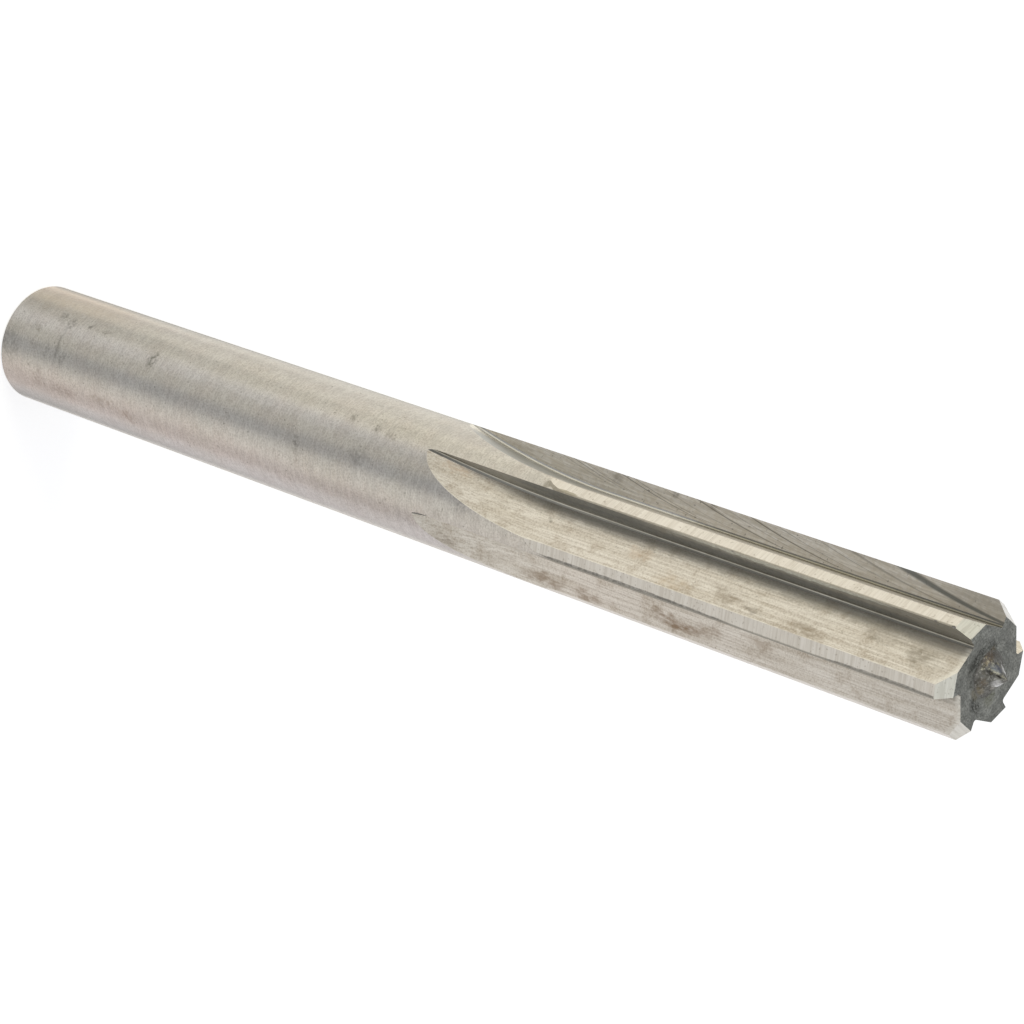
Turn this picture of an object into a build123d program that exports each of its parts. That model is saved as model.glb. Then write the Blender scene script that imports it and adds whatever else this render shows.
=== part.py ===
from build123d import *
from math import acos, cos, degrees, radians, sin, sqrt, tan
import os

# A straight-fluted machine reamer, ground from one bar of tool steel.
# The origin is the centre of the shank end. The axis is +Z, towards the nose.
# The first tooth has its cutting edge on +X. Seen from the shank, the tool cuts when it turns clockwise.

# Driving dimensions, in millimetres and degrees
tool_diameter = 9.525
back_taper = 0.01
body_length = 93.75
shank_diameter = 9.515
shank_edge_break = 0.15
collar_length = 0.4

tooth_count = 6
land_width = 0.88
flute_length = 33.1
flute_wheel_radius = 62.0
flute_root_radius = 0.22

margin_width = 0.1
land_relief_angle = 14.0
land_relief_length = 33.8
relief_wheel_radius = 25.0

bevel_length = 0.88
bevel_angle = 45.0
bevel_relief_angle = 12.0

point_height = 1.5
point_angle = 90.0
point_root_radius = 0.35

centre_hole_mouth = 3.0
centre_hole_angle = 60.0
centre_drill_diameter = 1.2
centre_drill_depth = 3.4

# How far each grinding cut passes clear of the metal
cut_clearance = 1.0

# Values that follow from them
tool_radius = tool_diameter / 2
body_back_radius = (tool_diameter - back_taper) / 2
tooth_pitch = 360 / tooth_count
land_angle = degrees(land_width / tool_radius)
margin_angle = degrees(margin_width / tool_radius)
flute_floor_height = tool_radius * cos(radians(tooth_pitch - land_angle))
flute_depth = tool_radius - flute_floor_height
flute_run_out = sqrt(flute_depth * (2 * flute_wheel_radius - flute_depth))
shank_length = body_length - flute_length - flute_run_out - collar_length
land_facet_height = tool_radius * cos(radians(land_relief_angle))
outside = tool_radius + cut_clearance
above_nose = body_length + cut_clearance


def radial_plane(angle):
    """The plane through the tool's axis at an angle round it, drawn in outward distance and height."""
    outward = Vector(1, 0, 0).rotate(Axis.Z, angle)
    return Plane(origin=(0, 0, 0), x_dir=outward, z_dir=outward.cross(Vector(0, 0, 1)))


def draw_wheel_pass(floor_height, floor_length, wheel_radius):
    """What a straight wheel takes off: a level floor back from the nose, then the wheel's own arc, rising out."""
    floor_start = body_length - floor_length
    swing = degrees(acos(1 - (outside - floor_height) / wheel_radius))
    run_out = CenterArc((floor_height + wheel_radius, floor_start), wheel_radius, 180, swing)
    Polyline(run_out @ 1, (outside, above_nose), (floor_height, above_nose), run_out @ 0)


# One flute: a square notch with its wall on the tool's axis and its floor at a right angle to the wall
with BuildPart() as flute_cut:
    with BuildSketch(radial_plane(0)):
        with BuildLine():
            draw_wheel_pass(flute_floor_height, flute_length, flute_wheel_radius)
        make_face()
    extrude(amount=-outside)
    wall_outline = flute_cut.edges().filter_by_position(Axis.Y, 0, 0)
    fillet(wall_outline.sort_by(Axis.X)[0:2], flute_root_radius)

# One land's relief: a flat facet that falls away behind a narrow round margin
with BuildPart() as relief_cut:
    with BuildSketch(radial_plane(-margin_angle - land_relief_angle)):
        with BuildLine():
            draw_wheel_pass(land_facet_height, land_relief_length, relief_wheel_radius)
        make_face()
    extrude(amount=outside / 2, both=True)

# One tooth's bevel: a flat facet across its front corner, which also falls away behind the cutting edge
bevel_outward = Vector(cos(radians(bevel_angle)), 0, sin(radians(bevel_angle)))
bevel_along = Vector(-sin(radians(bevel_angle)), 0, cos(radians(bevel_angle)))
bevel_facet = Plane(
    origin=(tool_radius, 0, body_length - bevel_length),
    x_dir=bevel_along,
    z_dir=bevel_outward.rotate(Axis((0, 0, 0), bevel_along), -bevel_relief_angle),
)
with BuildPart() as bevel_cut:
    with BuildSketch(bevel_facet):
        Rectangle(2 * outside, 2 * outside)
    extrude(amount=outside)

with BuildPart() as reamer:
    # The plain round shank
    with BuildSketch(Plane.XY):
        Circle(shank_diameter / 2)
    extrude(amount=shank_length)
    chamfer(reamer.edges().group_by(Axis.Z)[0], shank_edge_break)

    # The body, which is thinner at its back than at the nose by the back taper
    with BuildSketch(radial_plane(0)):
        with BuildLine():
            Polyline(
                (0, shank_length),
                (body_back_radius, shank_length),
                (tool_radius, body_length),
                (0, body_length),
                close=True,
            )
        make_face()
    revolve(axis=Axis.Z)

    # The male centre on the nose, with a small radius round its foot
    with BuildSketch(radial_plane(0)):
        with BuildLine():
            Polyline(
                (0, body_length),
                (point_height * tan(radians(point_angle / 2)), body_length),
                (0, body_length + point_height),
                close=True,
            )
        make_face()
    revolve(axis=Axis.Z)
    nose_circles = reamer.edges().filter_by(GeomType.CIRCLE).filter_by_position(Axis.Z, body_length, body_length)
    fillet(nose_circles.sort_by(SortBy.RADIUS)[0], point_root_radius)

    # The centre hole in the shank end, which holds the tool for grinding together with the male centre
    with Locations(reamer.faces().sort_by(Axis.Z)[0]):
        CounterSinkHole(
            radius=centre_drill_diameter / 2,
            counter_sink_radius=centre_hole_mouth / 2,
            depth=centre_drill_depth,
            counter_sink_angle=centre_hole_angle,
        )

    # The teeth
    with PolarLocations(0, tooth_count):
        add(flute_cut.part, mode=Mode.SUBTRACT)
    with PolarLocations(0, tooth_count):
        add(relief_cut.part, mode=Mode.SUBTRACT)
    with PolarLocations(0, tooth_count):
        add(bevel_cut.part, mode=Mode.SUBTRACT)

reamer.part.label = "reamer"

os.makedirs("parts", exist_ok=True)
export_step(reamer.part, "parts/reamer.step")
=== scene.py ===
"""Dresses the machine reamer: its ground surfaces, their steel finishes, and the studio round it."""

import logging
from collections.abc import Callable, Sequence
from dataclasses import dataclass, field
from enum import Enum, IntEnum
from functools import cached_property
from math import acos, asin, atan2, cos, hypot, pi, radians, sin, sqrt, tan

import bmesh
import bpy
import numpy as np
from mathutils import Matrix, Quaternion, Vector, noise


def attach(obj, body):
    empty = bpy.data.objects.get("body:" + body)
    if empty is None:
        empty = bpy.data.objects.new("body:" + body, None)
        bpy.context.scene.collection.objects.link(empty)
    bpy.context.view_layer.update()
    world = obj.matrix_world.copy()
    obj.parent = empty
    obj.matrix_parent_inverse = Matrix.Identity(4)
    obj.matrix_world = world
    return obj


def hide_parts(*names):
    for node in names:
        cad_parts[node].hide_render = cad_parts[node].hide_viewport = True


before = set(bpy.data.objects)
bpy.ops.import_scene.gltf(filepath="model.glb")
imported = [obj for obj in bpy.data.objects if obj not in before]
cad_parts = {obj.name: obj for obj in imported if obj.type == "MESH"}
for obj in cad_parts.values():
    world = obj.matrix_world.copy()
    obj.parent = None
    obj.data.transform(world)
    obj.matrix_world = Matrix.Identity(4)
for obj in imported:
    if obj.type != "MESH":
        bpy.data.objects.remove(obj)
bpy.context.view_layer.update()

log = logging.getLogger("reamer")

METRES_PER_MM = 0.001
WELD_MM = 1e-5

# How often a search halves its range
HALVINGS = 60

# A point on the tool: x, y and z, then the two surface coordinates that the finishes read, in millimetres
Point = tuple[float, float, float, float, float]
Line = list[Point]


class Region(IntEnum):
    """The ground surfaces of the tool. Each has its own finish."""

    ROUND = 0
    RAKE_FACE = 1
    FLUTE_ROOT = 2
    FLUTE_FLOOR = 3
    LAND = 4
    BEVEL = 5
    NOSE_FACE = 6
    MALE_CENTRE = 7
    SHANK_END = 8
    CENTRE_HOLE = 9
    CHIP = 10


def crossing(gap: Callable[[float], float], low: float, high: float) -> float:
    """Finds where a gap changes its sign.

    Args:
        gap: The gap at a place. It has one sign at low and the other at high.
        low: One end of the search.
        high: The other end.

    Returns:
        The place between them where the gap closes.
    """
    positive_at_low = gap(low) > 0
    for _ in range(HALVINGS):
        middle = (low + high) / 2
        if (gap(middle) > 0) == positive_at_low:
            low = middle
        else:
            high = middle
    return (low + high) / 2


def spread(start: float, stop: float, count: int, power: float = 1.0) -> list[float]:
    """Places values from start to stop.

    Args:
        start: The first value.
        stop: The last value.
        count: How many steps lie between them.
        power: Above 1, the steps are shorter near the start.

    Returns:
        The values, one more than the steps.
    """
    return [start + (stop - start) * (step / count) ** power for step in range(count + 1)]


def shares(line: Line) -> list[float]:
    """Measures how far along a line each of its points lies.

    Args:
        line: The line.

    Returns:
        A share for each point, from 0 to 1.
    """
    lengths = [0.0]
    for a, b in zip(line, line[1:]):
        lengths.append(lengths[-1] + hypot(b[0] - a[0], b[1] - a[1], b[2] - a[2]))
    total = lengths[-1] or 1.0
    return [length / total for length in lengths]


def between(start: Line, stop: Line, share: float) -> Line:
    """Gives the line that lies a share of the way from one line to another with as many points."""
    return [tuple(a + (b - a) * share for a, b in zip(p, q)) for p, q in zip(start, stop)]


class SectorMesh:
    """Collects the faces of one tooth's share of the tool, welded as they come."""

    def __init__(self) -> None:
        """Starts with no faces."""
        self.vertices: list[tuple[float, float, float]] = []
        self.faces: list[tuple[int, ...]] = []
        self.corners: list[tuple[float, float]] = []
        self.regions: list[int] = []
        self._index: dict[tuple[int, int, int], int] = {}

    def _vertex(self, point: Point) -> int:
        """Finds the vertex at a point, or adds it if it is new.

        Args:
            point: The point.

        Returns:
            The vertex's number.
        """
        key = tuple(round(value / WELD_MM) for value in point[:3])
        if key not in self._index:
            self._index[key] = len(self.vertices)
            self.vertices.append(point[:3])
        return self._index[key]

    def _face(self, points: Sequence[Point], region: Region) -> None:
        """Adds a face, unless its points weld to fewer than three.

        Args:
            points: The face's corners, in order.
            region: The surface that it is part of.
        """
        welded: dict[int, Point] = {}
        for point in points:
            welded.setdefault(self._vertex(point), point)
        if len(welded) > 2:
            self.faces.append(tuple(welded))
            self.corners.extend(point[3:] for point in welded.values())
            self.regions.append(int(region))

    def strip(self, lower: Line, upper: Line, region: Region) -> None:
        """Fills the band between two lines with quads, or with triangles where their counts differ.

        Args:
            lower: The line nearer the shank end, in the direction that the tool is drawn round.
            upper: The line nearer the nose, in the same direction.
            region: The surface that the band is part of.
        """
        if len(lower) == len(upper):
            for i in range(len(lower) - 1):
                self._face((lower[i], lower[i + 1], upper[i + 1], upper[i]), region)
            return
        low_share, high_share = shares(lower), shares(upper)
        i = j = 0
        while i < len(lower) - 1 or j < len(upper) - 1:
            if j == len(upper) - 1 or (i < len(lower) - 1 and low_share[i + 1] <= high_share[j + 1]):
                self._face((lower[i], lower[i + 1], upper[j]), region)
                i += 1
            else:
                self._face((lower[i], upper[j + 1], upper[j]), region)
                j += 1

    def strips(self, lines: Sequence[Line], region: Region) -> None:
        """Fills the bands between lines that follow one another."""
        for lower, upper in zip(lines, lines[1:]):
            self.strip(lower, upper, region)

    def to_mesh(self, name: str) -> bpy.types.Mesh:
        """Makes the mesh, with each face's region and the surface coordinates at its corners.

        Args:
            name: The mesh's name.

        Returns:
            The new mesh, in metres.
        """
        mesh = bpy.data.meshes.new(name)
        mesh.from_pydata([Vector(v) * METRES_PER_MM for v in self.vertices], [], self.faces)
        mesh.attributes.new("region", "INT", "FACE").data.foreach_set("value", self.regions)
        surface = mesh.uv_layers.new(name="surface_mm")
        surface.data.foreach_set("uv", np.array(self.corners, np.float32).ravel())
        mesh.update()
        return mesh


@dataclass(frozen=True)
class ToothSector:
    """One tooth's share of the tool, from its own rake face round to the next tooth's cutting edge.

    Sizes are in millimetres and degrees. The rake face lies on +X, and the flute on the +Y side of it.
    """

    tool_diameter: float = 9.525
    back_taper: float = 0.01
    body_length: float = 93.75
    shank_edge_break: float = 0.15
    collar_length: float = 0.4
    tooth_count: int = 6
    land_width: float = 0.88
    flute_length: float = 33.1
    flute_wheel_radius: float = 62.0
    flute_root_radius: float = 0.22
    margin_width: float = 0.1
    land_relief_angle: float = 14.0
    land_relief_length: float = 33.8
    relief_wheel_radius: float = 25.0
    bevel_length: float = 0.88
    bevel_angle: float = 45.0
    bevel_relief_angle: float = 12.0
    point_height: float = 1.5
    point_angle: float = 90.0
    point_root_radius: float = 0.35
    centre_hole_mouth: float = 3.0
    centre_hole_angle: float = 60.0
    centre_drill_diameter: float = 1.2
    centre_drill_depth: float = 3.4

    # How finely each surface is divided across the tool
    longest_round_step: float = 0.32
    root_steps: int = 10
    floor_steps_to_bevel: int = 16
    floor_steps_past_bevel: int = 10
    land_steps: int = 5
    rake_steps_past_bevel: int = 5
    rake_steps_to_bevel: int = 6
    bevel_steps: int = 12
    hole_steps: int = 8
    end_steps: tuple[int, int] = (12, 16)
    longest_point_step: float = 0.06

    # How finely each is divided along the tool. A crowding above 1 makes the first rows the shortest
    shank_rows: int = 24
    shank_crowding: float = 1.3
    hook_rows: int = 10
    hook_crowding: float = 2.0
    run_out_rows: int = 26
    run_out_crowding: float = 1.15
    relief_rows: int = 16
    full_depth_rows: int = 2
    tooth_rows: int = 44
    nose_rings: int = 15
    nose_crowding: float = 1.7
    fillet_rings: int = 6
    point_rings: int = 22

    # How the places where two wheels meet are found
    contact_tries: int = 400
    contact_rounds: int = 4
    longest_facet_start: float = 2.6

    @property
    def tool_radius(self) -> float:
        """The cutting radius at the nose."""
        return self.tool_diameter / 2

    @property
    def back_radius(self) -> float:
        """The radius at the back of the body, which the shank shares."""
        return (self.tool_diameter - self.back_taper) / 2

    @property
    def turn(self) -> float:
        """The angle from one tooth to the next, in radians."""
        return radians(360 / self.tooth_count)

    @property
    def floor_height(self) -> float:
        """How far the flute's floor lies from the axis."""
        return self.tool_radius * cos(self.turn - self.land_width / self.tool_radius)

    @property
    def floor_start(self) -> float:
        """The height where the wheel starts to rise out of the flute."""
        return self.body_length - self.flute_length

    @property
    def relief_start(self) -> float:
        """The height where the relief wheel starts to rise out of the land."""
        return self.body_length - self.land_relief_length

    @property
    def facet_height(self) -> float:
        """How far the land's facet lies from the axis."""
        return self.tool_radius * cos(radians(self.land_relief_angle))

    @property
    def facet_direction(self) -> float:
        """The angle that the land's facet faces, in radians."""
        margin_angle = self.margin_width / self.tool_radius
        return radians(360 / self.tooth_count - self.land_relief_angle) - margin_angle

    @property
    def bevel_start(self) -> float:
        """The height where the bevel meets the cutting edge."""
        return self.body_length - self.bevel_length

    @property
    def bevel_break(self) -> float:
        """The place where the next tooth's bevel leaves the flute's floor.

        Returns:
            Its distance from the rake face.
        """

        def above_nose(y: float) -> float:
            """Gives how far the bevel passes above the nose's face, at a distance from the rake face."""
            return self.bevel_height(*self.in_next_tooth(self.floor_height, y)) - self.body_length

        return crossing(above_nose, 0.0, self.tool_radius)

    def radius_at(self, z: float) -> float:
        """Gives the radius of the round surface, which the back taper makes thinner towards the shank.

        Args:
            z: The height.

        Returns:
            The radius.
        """
        depth = self.floor_height + self.flute_wheel_radius - self.tool_radius
        run_out = sqrt(self.flute_wheel_radius**2 - depth**2)
        taper_start = self.floor_start - run_out - self.collar_length
        share = max(0.0, (z - taper_start) / (self.body_length - taper_start))
        return self.back_radius + (self.tool_radius - self.back_radius) * share

    def wheel_radius_at(self, y: float) -> float:
        """Gives the flute wheel's radius, which is less at its rounded corner.

        Args:
            y: The distance from the wheel's side.

        Returns:
            The radius.
        """
        into_corner = max(0.0, self.flute_root_radius - y)
        corner = sqrt(self.flute_root_radius**2 - into_corner**2)
        return self.flute_wheel_radius - self.flute_root_radius + corner

    def flute_surface(self, y: float, z: float) -> float:
        """Finds how far out the flute's ground surface lies.

        Args:
            y: The distance from the rake face.
            z: The height.

        Returns:
            The distance outwards along the rake face.
        """
        back = max(0.0, self.floor_start - z)
        rise = sqrt(self.wheel_radius_at(y) ** 2 - back**2)
        return self.floor_height + self.flute_wheel_radius - rise

    def relief_surface(self, z: float) -> float:
        """Finds how far out the relief wheel passes, along the direction that the facet faces.

        Args:
            z: The height.

        Returns:
            The distance, which is outside the metal where the wheel has left it.
        """
        back = max(0.0, self.relief_start - z)
        if back >= self.relief_wheel_radius:
            return self.tool_diameter
        return self.facet_height + self.relief_wheel_radius - sqrt(self.relief_wheel_radius**2 - back**2)

    def outer_surface(self, y: float, z: float) -> float:
        """Finds how far out the metal reaches behind the flute, under the round bar and the land's facet.

        Args:
            y: The distance from the rake face.
            z: The height.

        Returns:
            The distance outwards along the rake face.
        """
        round_bar = sqrt(self.radius_at(z) ** 2 - y**2)
        face = self.facet_direction
        return min(round_bar, (self.relief_surface(z) - y * sin(face)) / cos(face))

    def wheel_contact(self, y: float) -> float:
        """Finds the height where the flute wheel first touches the round bar.

        Args:
            y: The distance from the rake face.

        Returns:
            The height.
        """
        z = self.floor_start
        for _ in range(self.contact_rounds):
            depth = self.floor_height + self.flute_wheel_radius - sqrt(self.radius_at(z) ** 2 - y**2)
            z = self.floor_start - sqrt(self.wheel_radius_at(y) ** 2 - depth**2)
        return z

    def flute_edge_at(self, z: float, low: float, high: float) -> float:
        """Gives the distance from the rake face, between two others, where the flute meets the outside."""
        return crossing(lambda y: self.outer_surface(y, z) - self.flute_surface(y, z), low, high)

    def heel_at(self, z: float, nearest: float) -> float:
        """Gives the distance from the rake face to the next land's heel, at a height."""
        return self.flute_edge_at(z, nearest, self.radius_at(z) * sin(self.turn))

    def facet_edge_at(self, z: float) -> float:
        """Gives the angle, in radians, where the land's facet ends and the round margin begins."""
        return self.facet_direction + acos(min(1.0, self.relief_surface(z) / self.radius_at(z)))

    def in_next_tooth(self, x: float, y: float) -> tuple[float, float]:
        """Gives a place in the frame of the next tooth, whose cutting edge is then on +X."""
        return x * cos(self.turn) + y * sin(self.turn), y * cos(self.turn) - x * sin(self.turn)

    def bevel_height(self, x: float, y: float) -> float:
        """Finds the height of a tooth's bevel over a place in that tooth's own frame.

        Args:
            x: The place, outwards along the rake face.
            y: The place, away from the rake face.

        Returns:
            The height.
        """
        slope = tan(radians(self.bevel_angle))
        relief = tan(radians(self.bevel_relief_angle)) / cos(radians(self.bevel_angle))
        return self.bevel_start + (self.tool_radius - x) * slope + y * relief

    def top_over(self, x: float, y: float, next_tooth: bool) -> float:
        """Finds the height of the metal over a place, under the nose's face and the tooth's bevel.

        Args:
            x: The place, outwards along the rake face.
            y: The place, away from the rake face.
            next_tooth: Whether the bevel is the next tooth's. If not, it is this tooth's own.

        Returns:
            The height.
        """
        place = self.in_next_tooth(x, y) if next_tooth else (x, y)
        return min(self.body_length, self.bevel_height(*place))

    def on_round(self, angle: float, z: float) -> Point:
        """Gives a point on the round surface, with the distance round the bar beside it."""
        radius = self.radius_at(z)
        return radius * cos(angle), radius * sin(angle), z, radius * angle, z

    def on_flute(self, y: float, z: float) -> Point:
        """Gives a point on the flute's floor or root, with the distance from the rake face beside it."""
        return self.flute_surface(y, z), y, z, y, z

    def on_rake(self, x: float, z: float) -> Point:
        """Gives a point on the rake face, with the height above the flute's floor beside it."""
        return x, 0.0, z, x - self.floor_height, z

    def on_bevel(self, point: Point) -> Point:
        """Gives a point the bevel's own coordinates: across the facet, and up its slope."""
        x, y = self.in_next_tooth(*point[:2])
        return *point[:3], y, hypot(self.tool_radius - x, point[2] - self.bevel_start)

    def on_nose(self, point: Point) -> Point:
        """Gives a point on the nose's face its own place as its coordinates."""
        return *point[:3], point[0], point[1]

    def turned(self, point: Point) -> Point:
        """Gives the same point on the next tooth."""
        x, y, *rest = point
        return x * cos(self.turn) - y * sin(self.turn), x * sin(self.turn) + y * cos(self.turn), *rest

    def round_line(self, start: float, z: float) -> Line:
        """Draws a line round the bar to the next cutting edge.

        Args:
            start: The angle where it starts, in radians.
            z: The height.

        Returns:
            The line.
        """
        steps = max(2, round((self.turn - start) * self.tool_radius / self.longest_round_step))
        return [self.on_round(angle, z) for angle in spread(start, self.turn, steps)]

    def rake_line(self, z: float) -> Line:
        """Draws a line down the rake face, from the cutting edge to the root radius.

        Args:
            z: The height.

        Returns:
            The line. One of its points lies where the bevel ends, further along the tool.
        """
        edge, foot = self.radius_at(z), self.flute_surface(0.0, z)
        full = self.radius_at(self.body_length) - self.floor_height - self.flute_root_radius
        middle = edge - (edge - foot) * self.bevel_length / full
        past_bevel = spread(middle, foot, self.rake_steps_past_bevel)[1:]
        return [self.on_rake(x, z) for x in spread(edge, middle, self.rake_steps_to_bevel) + past_bevel]

    def root_line(self, first: float, z: float) -> Line:
        """Draws a line round the root radius.

        Args:
            first: How far from the rake face it starts.
            z: The height.

        Returns:
            The line.
        """
        radius = self.flute_root_radius
        turns = spread(acos(1 - first / radius), pi / 2, self.root_steps)
        return [self.on_flute(radius * (1 - cos(turn)), z) for turn in turns]

    def floor_line(self, heel: float, z: float) -> Line:
        """Draws a line over the flute's floor, from the root radius to a heel.

        Args:
            heel: The heel's distance from the rake face.
            z: The height.

        Returns:
            The line. One of its points lies where the bevel begins, further along the tool.
        """
        radius = self.flute_root_radius
        full_heel = self.heel_at(self.body_length, radius)
        middle = radius + (heel - radius) * (self.bevel_break - radius) / (full_heel - radius)
        past_bevel = spread(middle, heel, self.floor_steps_past_bevel)[1:]
        return [self.on_flute(y, z) for y in spread(radius, middle, self.floor_steps_to_bevel) + past_bevel]

    def land_line(self, heel: float, edge: float, z: float) -> Line:
        """Draws a line over the land's facet.

        Args:
            heel: The heel's distance from the rake face.
            edge: The angle where the round margin begins, in radians.
            z: The height.

        Returns:
            The line. Its coordinate is the distance from the next cutting edge.
        """
        start, stop = self.on_flute(heel, z), self.on_round(edge, z)
        cutting_edge = self.turn * self.tool_radius
        width = hypot(stop[0] - start[0], stop[1] - start[1])
        first = (*start[:3], cutting_edge - stop[3] + width, z)
        last = (*stop[:3], cutting_edge - stop[3], z)
        return [between([first], [last], share)[0] for share in spread(0.0, 1.0, self.land_steps)]

    def raised(self, line: Line, next_tooth: bool) -> Line:
        """Lifts a line to the top of the metal, along the tool."""
        tops = [self.top_over(p[0], p[1], next_tooth) for p in line]
        return [(p[0], p[1], top, p[3], top) for p, top in zip(line, tops)]

    def ring(self, radius: float, z: float, steps: int) -> Line:
        """Draws an arc of the sector, with its distances along and across as its surface coordinates.

        Args:
            radius: Its radius.
            z: Its height.
            steps: How many steps it is divided into.

        Returns:
            The line.
        """
        places = [(radius * cos(angle), radius * sin(angle)) for angle in spread(0.0, self.turn, steps)]
        return [(x, y, z, x, y) for x, y in places]

    def build_shank(self, mesh: SectorMesh, contact: float, first_height: float) -> None:
        """Builds the centre hole, the shank's end and the round bar up to the flute.

        Args:
            mesh: Where the faces go.
            contact: The distance from the rake face where the flute starts.
            first_height: The height where it starts.
        """
        drill, mouth = self.centre_drill_diameter / 2, self.centre_hole_mouth / 2
        seat = (mouth - drill) / tan(radians(self.centre_hole_angle / 2))
        end_radius = self.back_radius - self.shank_edge_break
        hole = [self.ring(0.0, self.centre_drill_depth, 1)[:1]]
        for radius, depth in ((drill, self.centre_drill_depth), (drill, seat), (mouth, 0.0)):
            hole.append(self.ring(radius, depth, self.hole_steps))
        mesh.strips(hole, Region.CENTRE_HOLE)
        inner_steps, outer_steps = self.end_steps
        middle = self.ring((mouth + end_radius) / 2, 0.0, inner_steps)
        end = [hole[-1], middle, self.ring(end_radius, 0.0, outer_steps)]
        mesh.strips(end, Region.SHANK_END)
        heights = spread(first_height, self.shank_edge_break, self.shank_rows, self.shank_crowding)[:0:-1]
        rows = [end[-1]] + [self.round_line(0.0, z) for z in heights]
        first_angle = asin(contact / self.radius_at(first_height))
        rows.append([self.on_round(0.0, first_height), *self.round_line(first_angle, first_height)])
        mesh.strips(rows, Region.ROUND)

    def build_run_out(self, mesh: SectorMesh, contact: float, first_height: float) -> None:
        """Builds the stretch where the wheels rise out of the metal, and the land and margin beside it.

        Args:
            mesh: Where the faces go.
            contact: The distance from the rake face where the flute starts.
            first_height: The height where it starts.
        """
        rake_start = self.wheel_contact(0.0)
        facet_start = crossing(
            lambda z: self.facet_edge_at(z) - asin(self.heel_at(z, contact) / self.radius_at(z)),
            self.relief_start - self.longest_facet_start,
            self.relief_start,
        )
        levels = spread(first_height, rake_start, self.hook_rows, self.hook_crowding)
        levels += spread(rake_start, facet_start, self.run_out_rows, self.run_out_crowding)[1:]
        levels += spread(facet_start, self.relief_start, self.relief_rows)[1:]
        levels += spread(self.relief_start, self.floor_start, self.full_depth_rows)[1:]
        previous = {
            Region.FLUTE_ROOT: [self.on_flute(contact, first_height)],
            Region.FLUTE_FLOOR: [self.on_flute(contact, first_height)],
            Region.ROUND: self.round_line(asin(contact / self.radius_at(first_height)), first_height),
        }
        for row, z in enumerate(levels[1:], 1):
            heel = self.heel_at(z, contact)
            heel_angle = atan2(heel, self.flute_surface(heel, z))
            edge = max(heel_angle, self.facet_edge_at(z)) if z > facet_start else heel_angle
            first = 0.0 if row >= self.hook_rows else self.flute_edge_at(z, 0.0, contact)
            lines = {
                Region.FLUTE_ROOT: self.root_line(first, z),
                Region.FLUTE_FLOOR: self.floor_line(heel, z),
                Region.ROUND: self.round_line(edge, z),
            }
            if z > facet_start:
                lines[Region.LAND] = self.land_line(heel, edge, z)
            elif z >= facet_start - WELD_MM:
                lines[Region.LAND] = [lines[Region.ROUND][0]]
            if row > self.hook_rows:
                lines[Region.RAKE_FACE] = self.rake_line(z)
            elif row == self.hook_rows:
                lines[Region.RAKE_FACE] = [self.on_rake(self.radius_at(z), z)]
            for region, line in lines.items():
                if region in previous:
                    mesh.strip(previous[region], line, region)
            if row <= self.hook_rows:
                bar_below = [self.on_round(0.0, levels[row - 1]), previous[Region.FLUTE_ROOT][0]]
                bar_here = [self.on_round(0.0, z), lines[Region.FLUTE_ROOT][0]]
                mesh.strip(bar_below, bar_here, Region.ROUND)
            previous = lines
        self.build_tooth(mesh, previous)

    def build_tooth(self, mesh: SectorMesh, full: dict[Region, Line]) -> None:
        """Builds the tooth from the flute's full depth to the nose, and its bevel.

        Args:
            mesh: Where the faces go.
            full: Each surface's line at the height where the flute is first at its full depth.
        """
        z = self.body_length
        heel = self.heel_at(z, self.flute_root_radius)
        margin = self.facet_edge_at(z)
        tops = {
            Region.RAKE_FACE: self.raised(self.rake_line(z), False),
            Region.FLUTE_ROOT: self.raised(self.root_line(0.0, z), True),
            Region.FLUTE_FLOOR: self.raised(self.floor_line(heel, z), True),
            Region.LAND: self.raised(self.land_line(heel, margin, z), True),
            Region.ROUND: self.raised(self.round_line(margin, z), True),
        }
        for region, top in tops.items():
            rows = [between(full[region], top, share) for share in spread(0.0, 1.0, self.tooth_rows)]
            mesh.strips(rows, region)
        rake_top = [self.turned(p) for p in tops[Region.RAKE_FACE]]
        floor_top = tops[Region.FLUTE_FLOOR]
        outer = floor_top[self.floor_steps_to_bevel :] + tops[Region.LAND][1:] + tops[Region.ROUND][1:]
        outer += rake_top[1 : self.rake_steps_to_bevel + 1]
        ends = [outer[0]], [outer[-1]]
        inner = [between(*ends, share)[0] for share in spread(0.0, 1.0, self.bevel_steps)]
        inner[0], inner[-1] = outer[0], outer[-1]
        mesh.strip([self.on_bevel(p) for p in outer], [self.on_bevel(p) for p in inner], Region.BEVEL)
        rim = tops[Region.FLUTE_ROOT] + floor_top[1 : self.floor_steps_to_bevel + 1] + inner[1:]
        rim += rake_top[self.rake_steps_to_bevel + 1 :]
        self.build_nose(mesh, [self.on_nose(p) for p in rim])

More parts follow.
